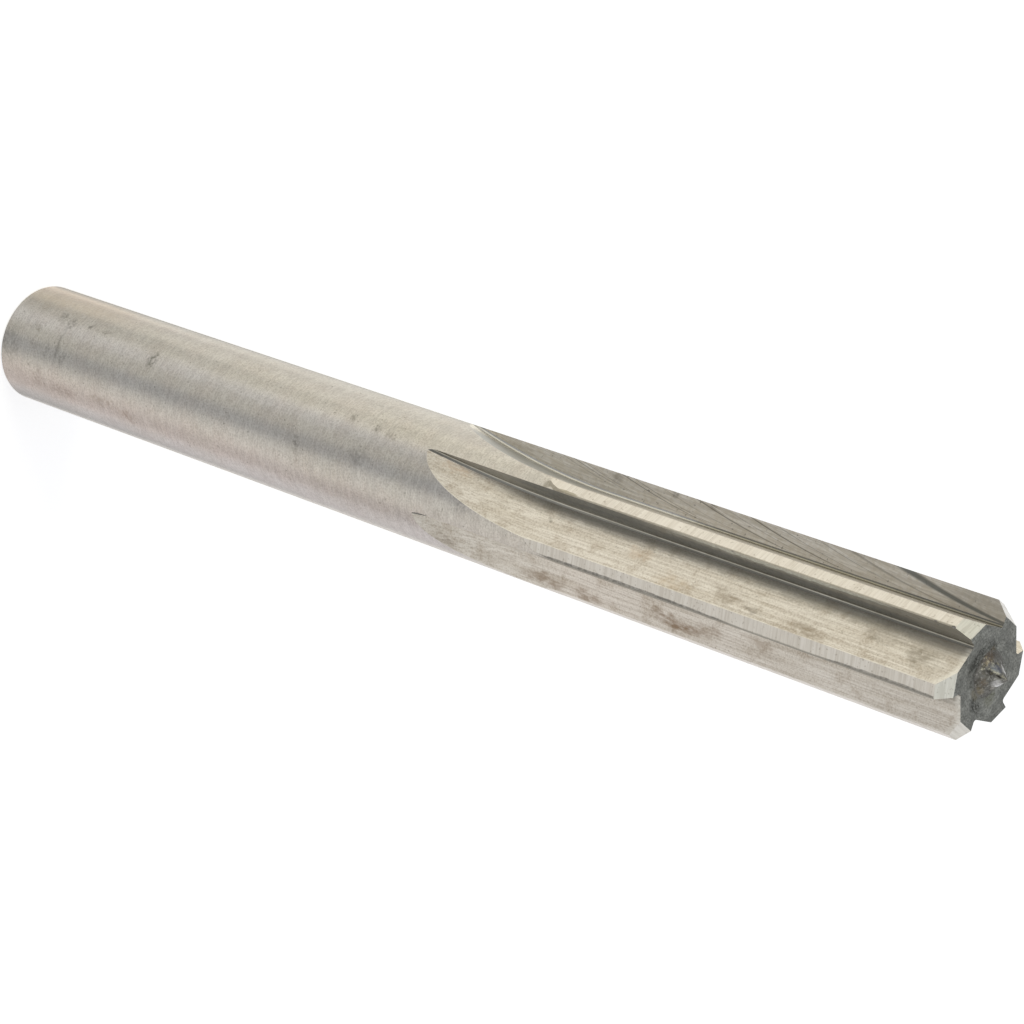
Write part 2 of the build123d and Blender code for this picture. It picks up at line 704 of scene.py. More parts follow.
    def build_nose(self, mesh: SectorMesh, rim: Line) -> None:
        """Builds the nose's face inside its rim, and the male centre.

        Args:
            mesh: Where the faces go.
            rim: The line round the face, from this tooth's root radius to the next tooth's.
        """
        half_angle = radians(self.point_angle / 2)
        fillet_turn = pi / 2 - half_angle
        foot = self.point_height * tan(half_angle) + self.point_root_radius * tan(fillet_turn / 2)
        circle = self.ring(foot, self.body_length, len(rim) - 1)
        inward = reversed(spread(0.0, 1.0, self.nose_rings, self.nose_crowding))
        mesh.strips([between(rim, circle, 1 - share) for share in inward], Region.NOSE_FACE)
        fillet_height = self.body_length + self.point_root_radius
        profile = [
            (foot - self.point_root_radius * sin(turn), fillet_height - self.point_root_radius * cos(turn))
            for turn in spread(0.0, fillet_turn, self.fillet_rings)
        ]
        start, low = profile[-1]
        apex = self.body_length + self.point_height
        for share in spread(0, 1, self.point_rings)[1:-1]:
            profile.append((start * (1 - share), low + (apex - low) * share))
        centre = [circle]
        for radius, height in profile[1:]:
            steps = max(3, round(radius * self.turn / self.longest_point_step))
            centre.append(self.ring(radius, height, steps))
        mesh.strips([*centre, self.ring(0.0, apex, 1)[:1]], Region.MALE_CENTRE)

    def build(self) -> bpy.types.Mesh:
        """Builds the whole sector.

        Returns:
            The sector's mesh. Its cut sides match those of a copy turned by one tooth.
        """
        mesh = SectorMesh()
        contact = min(spread(0.0, self.flute_root_radius, self.contact_tries), key=self.wheel_contact)
        first_height = self.wheel_contact(contact)
        self.build_shank(mesh, contact, first_height)
        self.build_run_out(mesh, contact, first_height)
        return mesh.to_mesh("tooth_sector")


# What can feed a node's input: the socket of another node, or the node itself for its first output
Feed = bpy.types.NodeSocket | bpy.types.Node
Colour = tuple[float, float, float, float]

MATH = "ShaderNodeMath"
VECTOR_MATH = "ShaderNodeVectorMath"
MAP_RANGE = "ShaderNodeMapRange"
NOISE = "ShaderNodeTexNoise"
MIX = "ShaderNodeMix"

# The sockets that a Mix or Compare node has under one name for several types of value
MIX_FACTOR, MIX_NUMBER_A, MIX_NUMBER_B = 0, 2, 3
MIX_COLOUR_A, MIX_COLOUR_B, MIXED_COLOUR = 6, 7, 2
COMPARE_INTEGER_A, COMPARE_INTEGER_B = 2, 3


def add_node(
    tree: bpy.types.NodeTree, kind: str, inputs: dict | None = None, **settings: object
) -> bpy.types.Node:
    """Adds a node to a tree, with its settings and its links.

    Args:
        tree: The node tree.
        kind: The node's type name.
        inputs: For each input, by its name or number, a value or what feeds it.
        settings: The node's own properties.

    Returns:
        The new node.
    """
    node = tree.nodes.new(kind)
    for name, value in settings.items():
        setattr(node, name, value)
    for key, value in (inputs or {}).items():
        feed = value.outputs[0] if isinstance(value, bpy.types.Node) else value
        if isinstance(feed, bpy.types.NodeSocket):
            tree.links.new(feed, node.inputs[key])
        else:
            node.inputs[key].default_value = feed
    return node


@dataclass(frozen=True)
class ToothRing:
    """Repeats one tooth's sector round the axis and welds the copies into one closed tool."""

    tooth_count: int = 6
    weld_distance: float = 0.002

    def make_tree(self, materials: dict[Region, bpy.types.Material]) -> bpy.types.GeometryNodeTree:
        """Builds the node tree.

        Args:
            materials: The finish of each region.

        Returns:
            A tree with the tooth count and the weld distance as its named inputs.
        """
        tree = bpy.data.node_groups.new("tooth_ring", "GeometryNodeTree")
        for name, kind in (("Sector", "Geometry"), ("Tooth Count", "Int"), ("Weld Distance", "Float")):
            tree.interface.new_socket(name, in_out="INPUT", socket_type=f"NodeSocket{kind}")
        tree.interface.new_socket("Tool", in_out="OUTPUT", socket_type="NodeSocketGeometry")
        given = add_node(tree, "NodeGroupInput").outputs
        points = add_node(tree, "GeometryNodePoints", {"Count": given["Tooth Count"]})
        turn = add_node(tree, MATH, {0: 2 * pi, 1: given["Tooth Count"]}, operation="DIVIDE")
        number = add_node(tree, "GeometryNodeInputIndex")
        angle = add_node(tree, MATH, {0: turn, 1: number}, operation="MULTIPLY")
        rotation = add_node(tree, "ShaderNodeCombineXYZ", {"Z": angle})
        placed = {"Points": points, "Instance": given["Sector"], "Rotation": rotation}
        copies = add_node(tree, "GeometryNodeInstanceOnPoints", placed)
        real = add_node(tree, "GeometryNodeRealizeInstances", {"Geometry": copies})
        near = {"Geometry": real, "Distance": given["Weld Distance"]}
        geometry = add_node(tree, "GeometryNodeMergeByDistance", near)
        region = add_node(tree, "GeometryNodeInputNamedAttribute", {"Name": "region"}, data_type="INT")
        for part, material in materials.items():
            numbers = {COMPARE_INTEGER_A: region, COMPARE_INTEGER_B: int(part)}
            here = add_node(tree, "FunctionNodeCompare", numbers, data_type="INT", operation="EQUAL")
            dressed = {"Geometry": geometry, "Selection": here, "Material": material}
            geometry = add_node(tree, "GeometryNodeSetMaterial", dressed)
        add_node(tree, "NodeGroupOutput", {"Tool": geometry})
        return tree

    def close(self, sector: bpy.types.Mesh, materials: dict[Region, bpy.types.Material]) -> bpy.types.Mesh:
        """Runs the tree on a sector.

        Args:
            sector: One tooth's share of the tool.
            materials: The finish of each region.

        Returns:
            The closed tool as a plain mesh.
        """
        holder = bpy.data.objects.new("tooth_sector", sector)
        bpy.context.scene.collection.objects.link(holder)
        modifier = holder.modifiers.new("ring", "NODES")
        modifier.node_group = self.make_tree(materials)
        values = {"Tooth Count": self.tooth_count, "Weld Distance": self.weld_distance * METRES_PER_MM}
        for item in modifier.node_group.interface.items_tree:
            if item.in_out == "INPUT" and item.name in values:
                modifier[item.identifier] = values[item.name]
        bpy.context.view_layer.update()
        evaluated = holder.evaluated_get(bpy.context.evaluated_depsgraph_get())
        mesh = bpy.data.meshes.new_from_object(evaluated)
        bpy.data.objects.remove(holder)
        return mesh


def linear(hex_colour: str) -> Colour:
    """Turns an sRGB hex colour to the linear values that shaders take.

    Args:
        hex_colour: Six hex digits, with or without a leading mark.

    Returns:
        Red, green, blue and an alpha of 1.
    """
    digits = hex_colour.lstrip("#")
    parts = [int(digits[i : i + 2], 16) / 255 for i in (0, 2, 4)]
    # The sRGB curve: straight at the dark end, and a power above it
    return *(c / 12.92 if c <= 0.04045 else ((c + 0.055) / 1.055) ** 2.4 for c in parts), 1.0


class Lay(Enum):
    """The direction in which a mark runs over the surface."""

    ALONG = "along the tool"
    ROUND = "round the tool"
    WHEEL_ARC = "up the rake face, on the flute wheel's arc"
    TURNED = "in rings about the axis"
    NONE = "in no direction"


@dataclass(frozen=True, kw_only=True)
class Layer:
    """What anything laid over the bare steel may change besides its colour.

    The depth is how far it is sunk, in millimetres. Without a roughness of its own, it keeps the steel's.
    """

    depth: float = 0.0
    roughness: float | None = None


@dataclass(frozen=True)
class Mark(Layer):
    """A pattern that a process leaves all over a surface. Sizes are in millimetres.

    It is a noise with the given width across its lay and the given length along it, and it shows where the
    noise passes the threshold. The softness is the range of the noise over which it fades in.
    """

    lay: Lay
    width: float
    length: float
    colour: str
    amount: float
    threshold: float = 0.5
    softness: float = 0.2
    detail: float = 2.0


@dataclass(frozen=True)
class Stain(Layer):
    """A patch of another colour at one place on the tool, with a ragged rim. Sizes are in millimetres.

    The rim is where the patch is at its full strength, as a share of its size. The grain breaks up the rest.
    """

    place: tuple[float, float, float]
    size: tuple[float, float, float]
    colour: str
    amount: float
    rim: float = 0.3
    broken: float = 1.0


@dataclass(frozen=True)
class Strip(Layer):
    """A narrow strip along a surface, from one distance across it to another. Sizes are in millimetres.

    It fades in between two heights on the tool.
    """

    start: float
    stop: float
    rise: tuple[float, float]
    colour: str
    amount: float
    blur: float = 0.03


@dataclass(frozen=True)
class ArcScratch(Layer):
    """A group of scratches that a grain of the flute wheel left on one rake face. Sizes are in millimetres.

    Its position is the height where its arc meets the flute's floor, and its face is a place on the rake
    face. It is whole over its core, a share of its width, and near that place, within a share of its reach.
    """

    position: float
    width: float
    face: tuple[float, float]
    reach: float
    colour: str
    amount: float
    core: float = 0.3
    near: float = 0.5


@dataclass(frozen=True)
class EdgeHighlight(Layer):
    """A painted highlight along a ground edge.

    It fades in between two values of the edge mask, which is 1 on the edge and 0 at the next points of the
    mesh.
    """

    colour: str
    amount: float
    fade: tuple[float, float] = (0.2, 0.9)


@dataclass(frozen=True)
class GroundSteel:
    """The finish of one surface: the steel's colour and gloss, and what the grinding and the use left on it.
    Some of its stains, strips and edges are painted light and shade.

    Lengths are in millimetres. The ragged values are the most that a stain's rim is shifted, how wide the
    shifts are, and their detail. The speckle is the grain's size across and along the tool. It breaks up the
    stains between two values of its noise, and leaves at least a share of them.
    """

    name: str
    colour: str
    roughness: float
    marks: tuple[Mark, ...]
    stains: tuple[Stain, ...] = ()
    strips: tuple[Strip, ...] = ()
    scratches: tuple[ArcScratch, ...] = ()
    edge_highlights: tuple[EdgeHighlight, ...] = ()
    ragged: float = 0.6
    ragged_width: float = 0.8
    ragged_detail: float = 4.0
    speckle: tuple[float, float] = (0.26, 0.26)
    speckle_detail: float = 3.0
    speckle_range: tuple[float, float] = (0.35, 0.65)
    least_speckle: float = 0.1
    wheel_radius: float = 62.0
    seed_step: float = 17.3


class FinishTree:
    """Builds the material of one finish: the bare steel, and what is laid over it."""

    def __init__(self, finish: GroundSteel) -> None:
        """Starts the material.

        Args:
            finish: The finish.
        """
        self.finish = finish
        self.material = bpy.data.materials.new(finish.name)
        self.material.use_nodes = True
        self.tree = self.material.node_tree

    @cached_property
    def place(self) -> Feed:
        """The place on the tool, in millimetres."""
        where = add_node(self.tree, "ShaderNodeTexCoord").outputs["Object"]
        return add_node(self.tree, VECTOR_MATH, {0: where, "Scale": 1 / METRES_PER_MM}, operation="SCALE")

    @cached_property
    def surface(self) -> bpy.types.bpy_prop_collection:
        """The two surface coordinates, in millimetres, as the outputs of one node."""
        coordinates = add_node(self.tree, "ShaderNodeUVMap", uv_map="surface_mm")
        return add_node(self.tree, "ShaderNodeSeparateXYZ", {0: coordinates}).outputs

    @cached_property
    def grain(self) -> Feed:
        """A fine noise about a half.

        Returns:
            Its value.
        """
        across, along = (1 / size for size in self.finish.speckle)
        scale = {0: self.place, 1: (across, across, along)}
        stretched = add_node(self.tree, VECTOR_MATH, scale, operation="MULTIPLY")
        sizes = {"Vector": stretched, "Scale": 1.0, "Detail": self.finish.speckle_detail}
        return add_node(self.tree, NOISE, sizes)

    @cached_property
    def speckle(self) -> Feed:
        """How much of a stain shows at a place, because the grain breaks it up.

        Returns:
            The share, from the finish's least to 1.
        """
        low, high = self.finish.speckle_range
        least = self.finish.least_speckle
        limits = {"Value": self.grain, "From Min": low, "From Max": high, "To Min": least}
        return add_node(self.tree, MAP_RANGE, limits, interpolation_type="SMOOTHSTEP")

    @cached_property
    def unevenness(self) -> Feed:
        """The grain about 0, which moves the strips' sides."""
        return add_node(self.tree, MATH, {0: self.grain, 1: 0.5}, operation="SUBTRACT")

    @cached_property
    def ragged_place(self) -> Feed:
        """The place on the tool, shifted about so that the stains' rims are ragged.

        Returns:
            The shifted place, in millimetres.
        """
        scale, detail = 1 / self.finish.ragged_width, self.finish.ragged_detail
        pattern = add_node(self.tree, NOISE, {"Vector": self.place, "Scale": scale, "Detail": detail})
        about_zero = {0: pattern.outputs["Color"], 1: (0.5, 0.5, 0.5)}
        shift = add_node(self.tree, VECTOR_MATH, about_zero, operation="SUBTRACT")
        most = 2 * self.finish.ragged
        moved = {0: shift, 1: (most, most, most), 2: self.place}
        return add_node(self.tree, VECTOR_MATH, moved, operation="MULTIPLY_ADD")

    @cached_property
    def wheel_arc(self) -> Feed:
        """The flute wheel's arc that a place on the rake face lies on.

        Returns:
            The height on the tool where that arc meets the flute's floor, in millimetres.
        """
        height, along = self.surface[0], self.surface[1]
        rest = add_node(self.tree, MATH, {0: 2 * self.finish.wheel_radius, 1: height}, operation="SUBTRACT")
        square = add_node(self.tree, MATH, {0: height, 1: rest}, operation="MULTIPLY")
        positive = add_node(self.tree, MATH, {0: square, 1: 0.0}, operation="MAXIMUM")
        reach = add_node(self.tree, MATH, {0: positive}, operation="SQRT")
        return add_node(self.tree, MATH, {0: along, 1: reach}, operation="ADD")

    @cached_property
    def flat_place(self) -> Feed:
        """The place on the tool with its height left out, in millimetres."""
        return add_node(self.tree, VECTOR_MATH, {0: self.place, 1: (1, 1, 0)}, operation="MULTIPLY")

    @cached_property
    def ring_radius(self) -> Feed:
        """The distance of a place from the tool's axis, in millimetres."""
        return add_node(self.tree, VECTOR_MATH, {0: self.flat_place}, operation="LENGTH").outputs["Value"]

    def shown(self, *limits: tuple[Feed, float, float]) -> Feed:
        """Builds how much of a layer shows where it fades in over one limit or more.

        Args:
            limits: For each limit, what it follows, where the layer is gone, and where it is whole.

        Returns:
            The share, from 0 to 1.
        """
        share: Feed | None = None
        for follows, gone, full in limits:
            fade = {"Value": follows, "From Min": gone, "From Max": full}
            step = add_node(self.tree, MAP_RANGE, fade, interpolation_type="SMOOTHSTEP")
            both = {0: share, 1: step}
            share = step if share is None else add_node(self.tree, MATH, both, operation="MULTIPLY")
        return share

    def mark_share(self, mark: Mark, number: int) -> Feed:
        """Builds how much of a mark shows.

        Args:
            mark: The mark.
            number: Its place in the finish, which shifts its noise.

        Returns:
            The share, from 0 to 1.
        """
        fine, long = 1 / mark.width, 1 / mark.length
        if mark.lay in (Lay.WHEEL_ARC, Lay.TURNED):
            across = self.wheel_arc if mark.lay is Lay.WHEEL_ARC else self.ring_radius
            apart = add_node(self.tree, "ShaderNodeSeparateXYZ", {0: self.place}).outputs
            axes = add_node(self.tree, "ShaderNodeCombineXYZ", {0: across, 1: apart[0], 2: apart[1]})
            scale = (fine, long, long)
        else:
            axes = self.place
            scale = {
                Lay.ALONG: (fine, fine, long),
                Lay.ROUND: (long, long, fine),
                Lay.NONE: (fine, fine, fine),
            }[mark.lay]
        shift = self.finish.seed_step * (number + 1)
        stretched = {0: axes, 1: scale, 2: (shift, -shift, 2 * shift)}
        vector = add_node(self.tree, VECTOR_MATH, stretched, operation="MULTIPLY_ADD")
        pattern = add_node(self.tree, NOISE, {"Vector": vector, "Scale": 1.0, "Detail": mark.detail})
        fade = mark.softness / 2
        return self.shown((pattern, mark.threshold - fade, mark.threshold + fade))

    def stain_share(self, stain: Stain) -> Feed:
        """Builds how much of a stain shows.

        Args:
            stain: The stain.

        Returns:
            The share, from 0 to 1.
        """
        scale = tuple(1 / size for size in stain.size)
        shift = tuple(-centre * s for centre, s in zip(stain.place, scale))
        centred = {0: self.ragged_place, 1: scale, 2: shift}
        relative = add_node(self.tree, VECTOR_MATH, centred, operation="MULTIPLY_ADD")
        distance = add_node(self.tree, VECTOR_MATH, {0: relative}, operation="LENGTH").outputs["Value"]
        whole = self.shown((distance, 1.0, stain.rim))
        broken = {0: self.speckle, 1: stain.broken, 2: 1 - stain.broken}
        kept = add_node(self.tree, MATH, broken, operation="MULTIPLY_ADD")
        return add_node(self.tree, MATH, {0: whole, 1: kept}, operation="MULTIPLY")

    def strip_share(self, strip: Strip) -> Feed:
        """Builds how much of a strip shows.

        Args:
            strip: The strip.

        Returns:
            The share, from 0 to 1.
        """
        blur = strip.blur
        moved = {0: self.unevenness, 1: 2 * blur, 2: self.surface[0]}
        across = add_node(self.tree, MATH, moved, operation="MULTIPLY_ADD")
        return self.shown(
            (across, strip.start - blur, strip.start + blur),
            (across, strip.stop + blur, strip.stop - blur),
            (self.surface[1], *strip.rise),
        )

    def scratch_share(self, scratch: ArcScratch) -> Feed:
        """Builds how much of a group of scratches shows.

        Args:
            scratch: The group.

        Returns:
            The share, from 0 to 1.
        """
        off = add_node(self.tree, MATH, {0: self.wheel_arc, 1: scratch.position}, operation="SUBTRACT")
        distance = add_node(self.tree, MATH, {0: off}, operation="ABSOLUTE")
        middle = {0: self.flat_place, 1: (*scratch.face, 0.0)}
        away = add_node(self.tree, VECTOR_MATH, middle, operation="DISTANCE").outputs["Value"]
        return self.shown(
            (distance, scratch.width, scratch.width * scratch.core),
            (away, scratch.reach, scratch.reach * scratch.near),
        )

    def edge_share(self, edge: EdgeHighlight) -> Feed:
        """Builds how much of the painted highlight along the ground edges shows.

        Args:
            edge: The worn edge.

        Returns:
            The share, from 0 to 1.
        """
        near_edge = add_node(self.tree, "ShaderNodeAttribute", attribute_name="edge_highlight_mask").outputs["Fac"]
        whole = self.shown((near_edge, *edge.fade))
        return add_node(self.tree, MATH, {0: whole, 1: self.speckle}, operation="MULTIPLY")

    def build(self) -> bpy.types.Material:
        """Lays everything over the bare steel.

        Returns:
            The material.
        """
        finish = self.finish
        layers = [(mark, self.mark_share(mark, number)) for number, mark in enumerate(finish.marks)]
        layers += [(strip, self.strip_share(strip)) for strip in finish.strips]
        layers += [(stain, self.stain_share(stain)) for stain in finish.stains]
        layers += [(scratch, self.scratch_share(scratch)) for scratch in finish.scratches]
        layers += [(edge, self.edge_share(edge)) for edge in finish.edge_highlights]
        shader = self.tree.nodes["Principled BSDF"].inputs
        shader["Metallic"].default_value = 1.0
        shader["Roughness"].default_value = finish.roughness
        colour: Feed | Colour = linear(finish.colour)
        roughness: Feed | float = finish.roughness
        height: Feed | None = None
        for layer, share in layers:
            strength = add_node(self.tree, MATH, {0: share, 1: layer.amount}, operation="MULTIPLY")
            colours = {MIX_FACTOR: strength, MIX_COLOUR_A: colour, MIX_COLOUR_B: linear(layer.colour)}
            colour = add_node(self.tree, MIX, colours, data_type="RGBA").outputs[MIXED_COLOUR]
            if layer.roughness is not None:
                blend = {MIX_FACTOR: strength, MIX_NUMBER_A: roughness, MIX_NUMBER_B: layer.roughness}
                roughness = add_node(self.tree, MIX, blend).outputs[0]
            if layer.depth:
                sunk = {0: share, 1: -layer.depth * METRES_PER_MM, 2: height or 0.0}
                height = add_node(self.tree, MATH, sunk, operation="MULTIPLY_ADD")
        self.tree.links.new(colour, shader["Base Color"])
        if isinstance(roughness, bpy.types.NodeSocket):
            self.tree.links.new(roughness, shader["Roughness"])
        if height:
            sizes = {"Height": height, "Strength": 1.0, "Distance": 1.0}
            bump = add_node(self.tree, "ShaderNodeBump", sizes)
            self.tree.links.new(bump.outputs[0], shader["Normal"])
        return self.material


# A pixel of the picture is about 0.1 mm of the tool. The lines of the wheels' grit are about 0.03 mm wide on
# a real tool, too fine to show, so the finishes draw them as coarse as they need: 0.08 to 0.13 mm

# The shank and the margins, cylindrically ground: a fine matt grain that runs round the bar, with the clouds
# and the dark specks that handling and damp left
GROUND_ROUND = GroundSteel(
    name="cylindrically_ground_tool_steel",
    colour="#d4d1ca",
    roughness=0.3,
    marks=(
        Mark(Lay.NONE, 5.0, 5.0, "#cac6ba", 0.5, softness=0.3),
        Mark(Lay.NONE, 1.8, 1.8, "#c8bfb6", 0.35, threshold=0.53, detail=4.0),
        Mark(Lay.ROUND, 0.13, 0.6, "#aeaaa3", 0.4, depth=0.001),
        Mark(Lay.NONE, 0.14, 0.14, "#f8f5f0", 0.3, detail=1.0),
        Mark(Lay.ROUND, 0.5, 4.0, "#bab6b0", 0.25, threshold=0.55),
        Mark(Lay.NONE, 0.3, 0.3, "#757167", 0.5, threshold=0.7, softness=0.06, detail=3.0),
    ),
    stains=(
        Stain((3.6, -2.6, 3.0), (3.2, 3.0, 13.0), "#cbbba4", 0.5, rim=0.3, broken=0.3),
        Stain((4.74, -0.3, 5.5), (1.0, 0.7, 0.9), "#77736a", 0.45),
        Stain((4.75, -0.1, 6.7), (1.0, 0.8, 0.8), "#55534d", 0.6),
        Stain((4.75, -0.3, 8.6), (1.0, 0.35, 0.4), "#6a675f", 0.6),
        Stain((4.75, -0.3, 10.7), (1.0, 0.4, 0.9), "#857f74", 0.5),
        Stain((4.3, 2.0, 6.6), (1.2, 1.6, 0.35), "#7d7a73", 0.45),
        Stain((3.8, 2.8, 7.4), (1.0, 0.8, 0.5), "#77746d", 0.4),
        Stain((4.0, 2.5, 5.4), (1.2, 1.0, 0.5), "#817e77", 0.4),
        Stain((4.72, 0.6, 17.0), (1.0, 1.0, 0.75), "#6c6d60", 0.7),
        Stain((4.6, 1.25, 3.8), (1.0, 0.5, 0.5), "#8a8474", 0.5),
        Stain((2.1, 4.3, 4.6), (1.0, 0.8, 1.2), "#9a8d80", 0.45),
        Stain((1.85, 4.4, 7.6), (0.7, 0.6, 2.4), "#968b7e", 0.45),
        Stain((2.1, 4.27, 12.4), (0.7, 0.7, 2.6), "#9c907d", 0.4),
        Stain((1.6, 4.5, 15.2), (0.7, 0.6, 1.2), "#9b8c7b", 0.5),
        Stain((4.75, -0.3, 38.4), (1.0, 0.55, 0.45), "#77746a", 0.55),
        Stain((4.75, -0.15, 41.0), (1.0, 0.5, 0.6), "#66635a", 0.65),
        Stain((4.76, 0.1, 42.8), (1.0, 0.4, 0.9), "#8b8679", 0.5),
        Stain((3.8, 2.8, 34.2), (1.0, 0.9, 0.45), "#75726b", 0.55),
        Stain((3.1, 3.6, 34.4), (1.2, 1.1, 0.25), "#918880", 0.45),
        Stain((4.2, 2.3, 40.5), (1.0, 1.0, 1.4), "#8b8882", 0.4),
        Stain((2.7, 3.9, 49.1), (0.6, 0.6, 0.6), "#8a8378", 0.4),
        Stain((3.6, 3.0, 51.4), (1.0, 1.0, 1.6), "#8d8c8a", 0.5),
        Stain((3.7, 3.0, 1.0), (2.0, 2.4, 1.6), "#9b9891", 0.5),
        Stain((4.74, -0.25, 58.9), (0.5, 0.45, 1.6), "#8d8779", 0.8, rim=0.7, broken=0.2),
    ),
    # Painted shade: a dark line along the margin next to each cutting edge, towards the nose
    strips=(Strip(4.86, 5.1, (57.5, 60.5), "#8a867b", 0.6),),
)

# The flutes' floors, ground by the wheel's rim: long streaks along the tool, bright where the wheel rubbed
# last and brown where the coolant dried
GROUND_FLOOR = GroundSteel(
    name="flute_ground_tool_steel",
    colour="#f1ece2",
    roughness=0.34,
    speckle=(0.2, 0.7),
    least_speckle=0.35,
    ragged=0.8,
    # A painted highlight: a thin bright line along the floor's ground edges
    edge_highlights=(EdgeHighlight("#fffdf4", 0.8),),
    marks=(
        Mark(Lay.ALONG, 1.1, 7.0, "#cbc1b0", 0.5, detail=3.0),
        Mark(Lay.ALONG, 0.5, 6.0, "#fdf9f0", 0.55, threshold=0.52, detail=3.0),
        Mark(Lay.ALONG, 0.13, 7.0, "#b7ad9e", 0.52, detail=3.0, depth=0.001),
        Mark(Lay.ALONG, 0.24, 8.0, "#fdf9f0", 0.3, threshold=0.54, detail=3.0),
        Mark(Lay.NONE, 0.11, 0.11, "#bbb1a1", 0.36, threshold=0.54, detail=2.0),
        Mark(Lay.NONE, 1.5, 1.5, "#ab9c87", 0.45, threshold=0.6, softness=0.16, detail=5.0),
        Mark(Lay.NONE, 0.15, 0.15, "#fbf7ee", 0.35, detail=1.0),
        Mark(Lay.NONE, 0.18, 0.18, "#7d7364", 0.4, threshold=0.69, softness=0.1, detail=3.0),
    ),
    stains=(
        # Painted reflection: a blue-grey patch that darkens one flute's floor near its start
        Stain((3.3, -2.4, 54.0), (2.8, 2.0, 11.0), "#a3a9aa", 0.75, rim=0.5, broken=0.3),
        # Painted highlight: a bright lip where that flute's floor starts
        Stain((2.95, -3.65, 46.6), (0.7, 0.6, 2.2), "#fffcf0", 0.85, rim=0.4, broken=0.2),
        # Painted shade: a dark line on that floor beside the heel of the land after it
        Stain((4.6, -0.9, 76.0), (0.35, 0.4, 20.0), "#77746a", 0.55, rim=0.7, broken=0.3),
        Stain((3.3, 1.2, 91.5), (0.8, 2.4, 3.0), "#a39c8d", 0.5),
        Stain((3.2, 0.8, 84.0), (0.6, 0.5, 9.0), "#9b9484", 0.45),
        Stain((4.2, 0.5, 49.4), (0.8, 0.6, 2.4), "#b99b78", 0.45),
        Stain((3.1, 1.4, 58.5), (0.6, 0.3, 0.5), "#6d6453", 0.6),
        Stain((3.1, 1.7, 66.8), (0.6, 0.6, 1.5), "#c2a582", 0.4),
        Stain((3.1, 2.9, 70.4), (0.6, 0.9, 2.2), "#c6b090", 0.4),
        Stain((3.1, 2.4, 75.2), (0.6, 0.7, 1.9), "#8a7a62", 0.6),
        Stain((3.1, 2.85, 77.4), (0.6, 0.5, 1.0), "#6a5f50", 0.7),
        Stain((3.1, 2.8, 82.2), (0.6, 0.8, 2.2), "#8f7f68", 0.6),
        Stain((3.1, 1.5, 87.5), (0.6, 0.8, 2.4), "#918a7c", 0.55),
        Stain((3.1, 1.9, 90.6), (0.6, 0.9, 1.4), "#8c8271", 0.5),
        Stain((0.4, 4.6, 49.0), (0.8, 0.7, 1.6), "#8a7a68", 0.5),
        Stain((-0.8, 4.1, 57.8), (0.8, 0.8, 2.8), "#937d66", 0.7),
        Stain((-1.0, 4.2, 61.6), (0.8, 0.7, 1.8), "#8d765d", 0.6),
        Stain((-0.4, 3.8, 68.4), (0.6, 0.5, 1.1), "#8a7359", 0.6),
        Stain((-0.75, 4.0, 70.4), (0.7, 0.8, 3.0), "#8b7156", 0.8),
        Stain((-0.4, 3.8, 73.0), (0.6, 0.6, 1.6), "#97826b", 0.6),
        Stain((0.0, 3.6, 77.2), (0.6, 0.6, 2.2), "#a18f79", 0.5),
    ),
    # Painted shade on every floor beside the rake face's root, fading in along the tool
    strips=(Strip(-1.0, 0.95, (50.0, 58.0), "#858279", 0.6, blur=0.42),),
)

# The small radius at each flute's root, which the corner of the wheel leaves smoother than the floor.
# The strips paint shade on both sides of a narrow line along it, left bright as a painted highlight
GROUND_ROOT = GroundSteel(
    name="corner_ground_tool_steel",
    colour="#b6b4ac",
    roughness=0.22,
    marks=(
        Mark(Lay.ALONG, 0.12, 6.0, "#8d8a7f", 0.5),
        Mark(Lay.NONE, 0.5, 0.5, "#7d7567", 0.3, threshold=0.58, detail=4.0),
    ),
    # Painted highlight and shade on single roots: brighter on two flutes near their start, darker on one
    # towards the nose
    stains=(
        Stain((3.6, 0.05, 56.0), (1.8, 0.9, 13.0), "#dcdad1", 0.3, rim=0.3, broken=0.2),
        Stain((1.9, -3.1, 56.0), (1.6, 1.9, 15.0), "#eff1f2", 0.45, rim=0.7, broken=0.15),
        Stain((1.9, -3.1, 86.0), (1.6, 1.9, 19.0), "#8c897d", 0.8, rim=0.6, broken=0.3),
        Stain((1.9, -3.1, 92.0), (1.6, 1.9, 9.0), "#75746e", 0.8, rim=0.6, broken=0.3),
    ),
    # Painted shade on both sides of a narrow line along every root, which stays bright as a painted
    # highlight
    strips=(
        Strip(-1.0, 0.028, (46.0, 47.0), "#716f68", 0.64, blur=0.012),
        Strip(0.075, 1.0, (46.0, 47.0), "#716f68", 0.64, blur=0.015),
    ),
)
